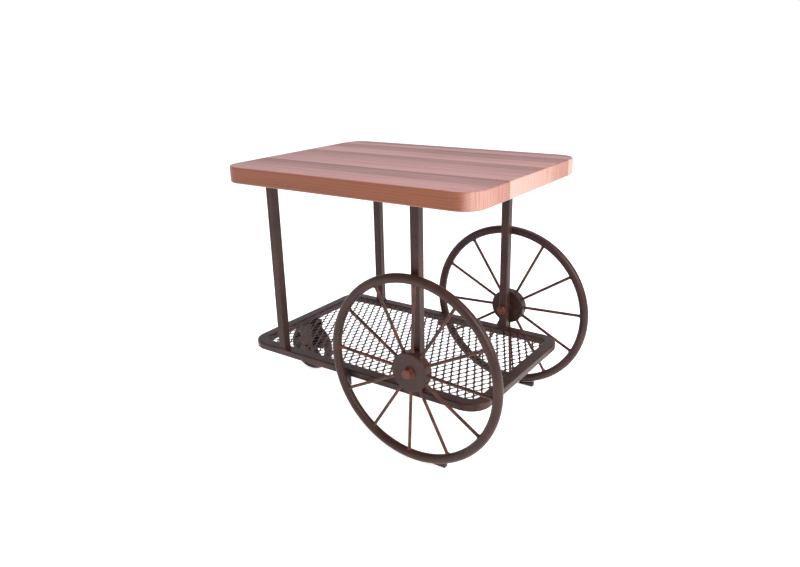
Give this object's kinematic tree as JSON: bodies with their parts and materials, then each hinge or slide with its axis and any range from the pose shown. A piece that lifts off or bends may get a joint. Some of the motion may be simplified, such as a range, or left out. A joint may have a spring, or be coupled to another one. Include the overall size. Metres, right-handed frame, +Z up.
{
  "type": "butcher block table",
  "caption": "Butcher block side table on a steel cart frame with a mesh shelf, large spoked wheels at one end and a small wheel at the other.",
  "frame": {"origin": "on the ground, in the middle of the whole table's outline", "axes": "+X along the long side of the block towards the large wheels, +Y from the front to the back, +Z up"},
  "size_m": [0.7112, 0.4572, 0.5588],
  "materials": {
    "block": "oiled hardwood staves, satin",
    "frame_steel": "dark bronze paint, satin gloss",
    "shelf_mesh": "dark bronze paint, satin",
    "spokes": "dark bronze paint rubbed back to red-brown",
    "bolts": "dark paint worn at the corners, a little rust"
  },
  "bodies": {
    "frame": {"stave_1": "block", "stave_2": "block", "stave_3": "block", "stave_4": "block", "leg_front_left": "frame_steel", "leg_plate_front_left": "frame_steel", "leg_front_right": "frame_steel", "leg_plate_front_right": "frame_steel", "leg_back_left": "frame_steel", "leg_plate_back_left": "frame_steel", "leg_back_right": "frame_steel", "leg_plate_back_right": "frame_steel", "shelf_rail": "frame_steel", "shelf_mesh": "shelf_mesh", "rail_tab_front": "frame_steel", "rail_tab_back": "frame_steel", "caster_fork": "frame_steel", "caster_axle_bolt": "bolts", "caster_axle_nut": "bolts", "front_wheel_bolt": "bolts", "front_wheel_spacer": "frame_steel", "front_wheel_nut": "bolts", "back_wheel_bolt": "bolts", "back_wheel_spacer": "frame_steel", "back_wheel_nut": "bolts"},
    "front_wheel": {"front_wheel_rim": "frame_steel", "front_wheel_hub": "frame_steel", "front_wheel_spoke_01": "spokes", "front_wheel_spoke_02": "spokes", "front_wheel_spoke_03": "spokes", "front_wheel_spoke_04": "spokes", "front_wheel_spoke_05": "spokes", "front_wheel_spoke_06": "spokes", "front_wheel_spoke_07": "spokes", "front_wheel_spoke_08": "spokes", "front_wheel_spoke_09": "spokes", "front_wheel_spoke_10": "spokes", "front_wheel_spoke_11": "spokes", "front_wheel_spoke_12": "spokes", "front_wheel_foot": "frame_steel"},
    "back_wheel": {"back_wheel_rim": "frame_steel", "back_wheel_hub": "frame_steel", "back_wheel_spoke_01": "spokes", "back_wheel_spoke_02": "spokes", "back_wheel_spoke_03": "spokes", "back_wheel_spoke_04": "spokes", "back_wheel_spoke_05": "spokes", "back_wheel_spoke_06": "spokes", "back_wheel_spoke_07": "spokes", "back_wheel_spoke_08": "spokes", "back_wheel_spoke_09": "spokes", "back_wheel_spoke_10": "spokes", "back_wheel_spoke_11": "spokes", "back_wheel_spoke_12": "spokes", "back_wheel_foot": "frame_steel"},
    "small_wheel": {"caster_tyre": "frame_steel", "caster_spider": "frame_steel"}
  },
  "joints": [
    {"name": "front_wheel_spin", "type": "hinge", "parent": "frame", "child": "front_wheel", "pos_m": [0.1601, -0.2079, 0.1955], "axis": [0, 1, 0], "continuous": true},
    {"name": "back_wheel_spin", "type": "hinge", "parent": "frame", "child": "back_wheel", "pos_m": [0.1601, 0.2079, 0.1955], "axis": [0, 1, 0], "continuous": true},
    {"name": "small_wheel_spin", "type": "hinge", "parent": "frame", "child": "small_wheel", "pos_m": [-0.2936, 0, 0.062], "axis": [0, 1, 0], "continuous": true}
  ]
}
